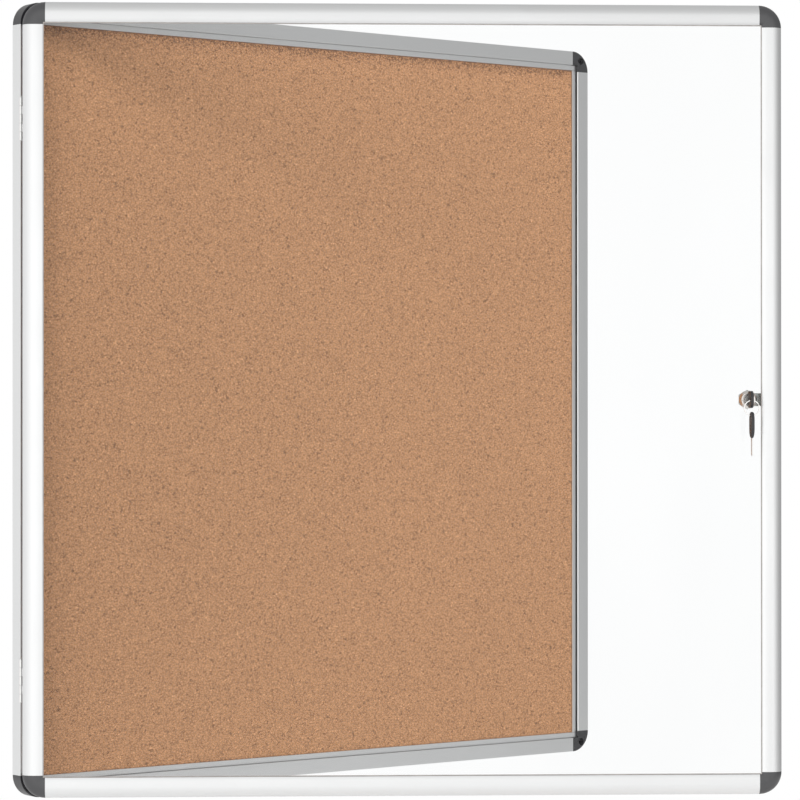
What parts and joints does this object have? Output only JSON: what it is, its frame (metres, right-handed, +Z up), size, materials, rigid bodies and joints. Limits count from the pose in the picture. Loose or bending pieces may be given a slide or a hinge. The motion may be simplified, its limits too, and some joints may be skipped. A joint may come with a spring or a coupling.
{
  "type": "lockable notice board",
  "caption": "Wall-hung cork notice board: aluminium case with plastic corners and a side-hinged, glazed door with cam lock, key and spare key on a ring.",
  "frame": {"origin": "centre of the case's back, on the wall plane", "axes": "+X to the right seen from the front, +Z up, +Y into the wall, so the closed front faces -Y"},
  "size_m": [0.9435, 0.6018, 0.98],
  "materials": {
    "aluminium": "silver anodised, satin",
    "dark_plastic": "moulded, fine satin grain",
    "cork": "fine-grained agglomerated cork",
    "softboard": "soft fibreboard",
    "hardboard": "smooth brown hardboard",
    "clear_pane": "clear, polished",
    "seal": "light grey, matt",
    "hinge_metal": "nickel plated",
    "chrome": "polished chrome plate",
    "zinc_steel": "zinc plated",
    "black_plastic": "moulded, satin",
    "wire_steel": "bright nickel"
  },
  "bodies": {
    "case": {"case_rail_left": "aluminium", "case_rail_top": "aluminium", "case_rail_right": "aluminium", "case_rail_bottom": "aluminium", "case_corner_top_left": "dark_plastic", "case_corner_top_right": "dark_plastic", "case_corner_bottom_right": "dark_plastic", "case_corner_bottom_left": "dark_plastic", "cork_sheet": "cork", "softboard_core": "softboard", "back_sheet": "hardboard", "hinge_leaf_case_upper": "hinge_metal", "hinge_leaf_case_lower": "hinge_metal", "hinge_pin_upper": "hinge_metal", "hinge_pin_lower": "hinge_metal", "hinge_screw_case_upper_1": "zinc_steel", "hinge_screw_case_upper_2": "zinc_steel", "hinge_screw_case_upper_3": "zinc_steel", "hinge_screw_case_lower_1": "zinc_steel", "hinge_screw_case_lower_2": "zinc_steel", "hinge_screw_case_lower_3": "zinc_steel"},
    "door": {"door_rail_left": "aluminium", "door_rail_top": "aluminium", "door_rail_right": "aluminium", "door_rail_bottom": "aluminium", "door_corner_top_left": "dark_plastic", "door_corner_top_right": "dark_plastic", "door_corner_bottom_right": "dark_plastic", "door_corner_bottom_left": "dark_plastic", "glazing_pane": "clear_pane", "glazing_seal_left": "seal", "glazing_seal_top": "seal", "glazing_seal_right": "seal", "glazing_seal_bottom": "seal", "hinge_leaf_door_upper": "hinge_metal", "hinge_leaf_door_lower": "hinge_metal", "hinge_screw_door_upper_1": "zinc_steel", "hinge_screw_door_upper_2": "zinc_steel", "hinge_screw_door_upper_3": "zinc_steel", "hinge_screw_door_lower_1": "zinc_steel", "hinge_screw_door_lower_2": "zinc_steel", "hinge_screw_door_lower_3": "zinc_steel", "lock_housing": "chrome", "lock_nut": "zinc_steel"},
    "plug": {"lock_plug": "chrome", "lock_cam": "zinc_steel", "cam_screw": "zinc_steel"},
    "key": {"key_blade": "zinc_steel", "key_bow": "black_plastic"},
    "ring": {"key_ring": "wire_steel"},
    "spare_key": {"spare_key_blade": "zinc_steel", "spare_key_bow": "black_plastic"}
  },
  "joints": [
    {"name": "door_hinge", "type": "hinge", "parent": "case", "child": "door", "pos_m": [-0.4703, -0.0195, 0], "axis": [0, 0, -1], "range_deg": [-36.5, 133.5]},
    {"name": "lock_turn", "type": "hinge", "parent": "door", "child": "plug", "pos_m": [0.2485, -0.55325, 0], "axis": [0.5948, 0.8039, 0], "range_deg": [0, 90]},
    {"name": "key_slide", "type": "slide", "parent": "plug", "child": "key", "axis": [-0.5948, -0.8039, 0], "range_m": [0, 0.024]},
    {"name": "ring_swing", "type": "hinge", "parent": "key", "child": "ring", "pos_m": [0.22013, -0.59159, -0.0012], "axis": [-0.8039, 0.5948, 0], "range_deg": [-12, 60]},
    {"name": "spare_swing", "type": "hinge", "parent": "ring", "child": "spare_key", "pos_m": [0.22013, -0.59159, -0.0196], "axis": [-0.8039, 0.5948, 0], "range_deg": [-12, 40]}
  ]
}
